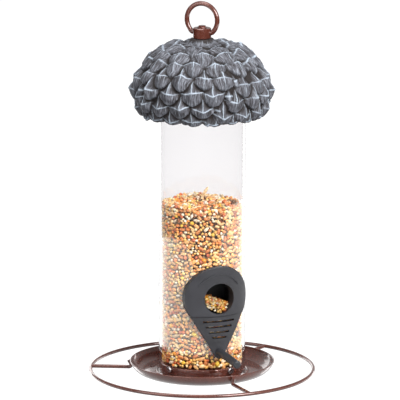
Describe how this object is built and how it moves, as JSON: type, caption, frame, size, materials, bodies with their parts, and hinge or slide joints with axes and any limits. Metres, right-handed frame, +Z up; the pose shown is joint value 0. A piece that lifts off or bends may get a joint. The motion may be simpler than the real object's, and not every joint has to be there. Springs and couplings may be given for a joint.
{
  "type": "hanging tube bird feeder",
  "caption": "Clear seed tube in a round metal tray with a perch ring, two seed ports with perches, and a twist-off cone-scale roof with a hanging ring.",
  "frame": {"origin": "on the surface the tray stands on, under the tube's axis", "axes": "+Z up along the tube's axis, the front seed port at -Y, the rear one at +Y"},
  "size_m": [0.1974, 0.1974, 0.3269],
  "materials": {
    "tray_paint": "glossy reddish brown enamel on pressed sheet and wire",
    "bolt_steel": "brown painted bolt",
    "fixing_steel": "plain zinc-plated steel",
    "clear_tube": "clear plastic tube, gloss",
    "port_plastic": "fine satin black moulding",
    "cap_plastic": "black moulding",
    "roof_resin": "cast resin, dark grey with pale blue-grey dry brushing on the scale ridges",
    "seed_mix": "mixed dry grain: wheat, millet, milo, cracked maize and sunflower"
  },
  "bodies": {
    "feeder": {"base_dish": "tray_paint", "tube_socket": "tray_paint", "socket_screw": "fixing_steel", "socket_washer": "fixing_steel", "wing_nut": "fixing_steel", "tube_screws": "fixing_steel", "perch_ring": "tray_paint", "perch_spoke_1": "tray_paint", "perch_spoke_2": "tray_paint", "perch_spoke_3": "tray_paint", "seed_tube": "clear_tube", "seed_fill": "seed_mix", "port_front": "port_plastic", "hood_front": "port_plastic", "perch_front": "port_plastic", "port_rear": "port_plastic", "hood_rear": "port_plastic", "perch_rear": "port_plastic", "perch_screws": "fixing_steel", "lid_studs": "clear_tube"},
    "hanger": {"hanger_bolt": "bolt_steel", "hanger_washer": "fixing_steel", "hanger_nut": "fixing_steel"},
    "roof": {"roof_shell": "roof_resin", "lid_cap": "cap_plastic", "lid_screws": "fixing_steel"},
    "collar": {"hanger_collar": "tray_paint"},
    "eye": {"hanging_ring": "tray_paint"}
  },
  "joints": [
    {"name": "roof_lift", "type": "slide", "parent": "feeder", "child": "hanger", "axis": [0, 0, 1], "range_m": [0, 0.045]},
    {"name": "roof_turn", "type": "hinge", "parent": "hanger", "child": "roof", "pos_m": [0, 0, 0.29], "axis": [0, 0, 1], "range_deg": [0, 225.5]},
    {"name": "collar_swivel", "type": "hinge", "parent": "hanger", "child": "collar", "pos_m": [0, 0, 0.299], "axis": [0, 0, 1], "continuous": true},
    {"name": "ring_swing", "type": "hinge", "parent": "collar", "child": "eye", "pos_m": [0, 0, 0.29979], "axis": [0.6947, -0.7193, 0], "range_deg": [-90, 90]}
  ],
  "couplings": [
    {"joint": "roof_turn", "follows": "roof_lift", "rad_per_m": 87.266}
  ]
}
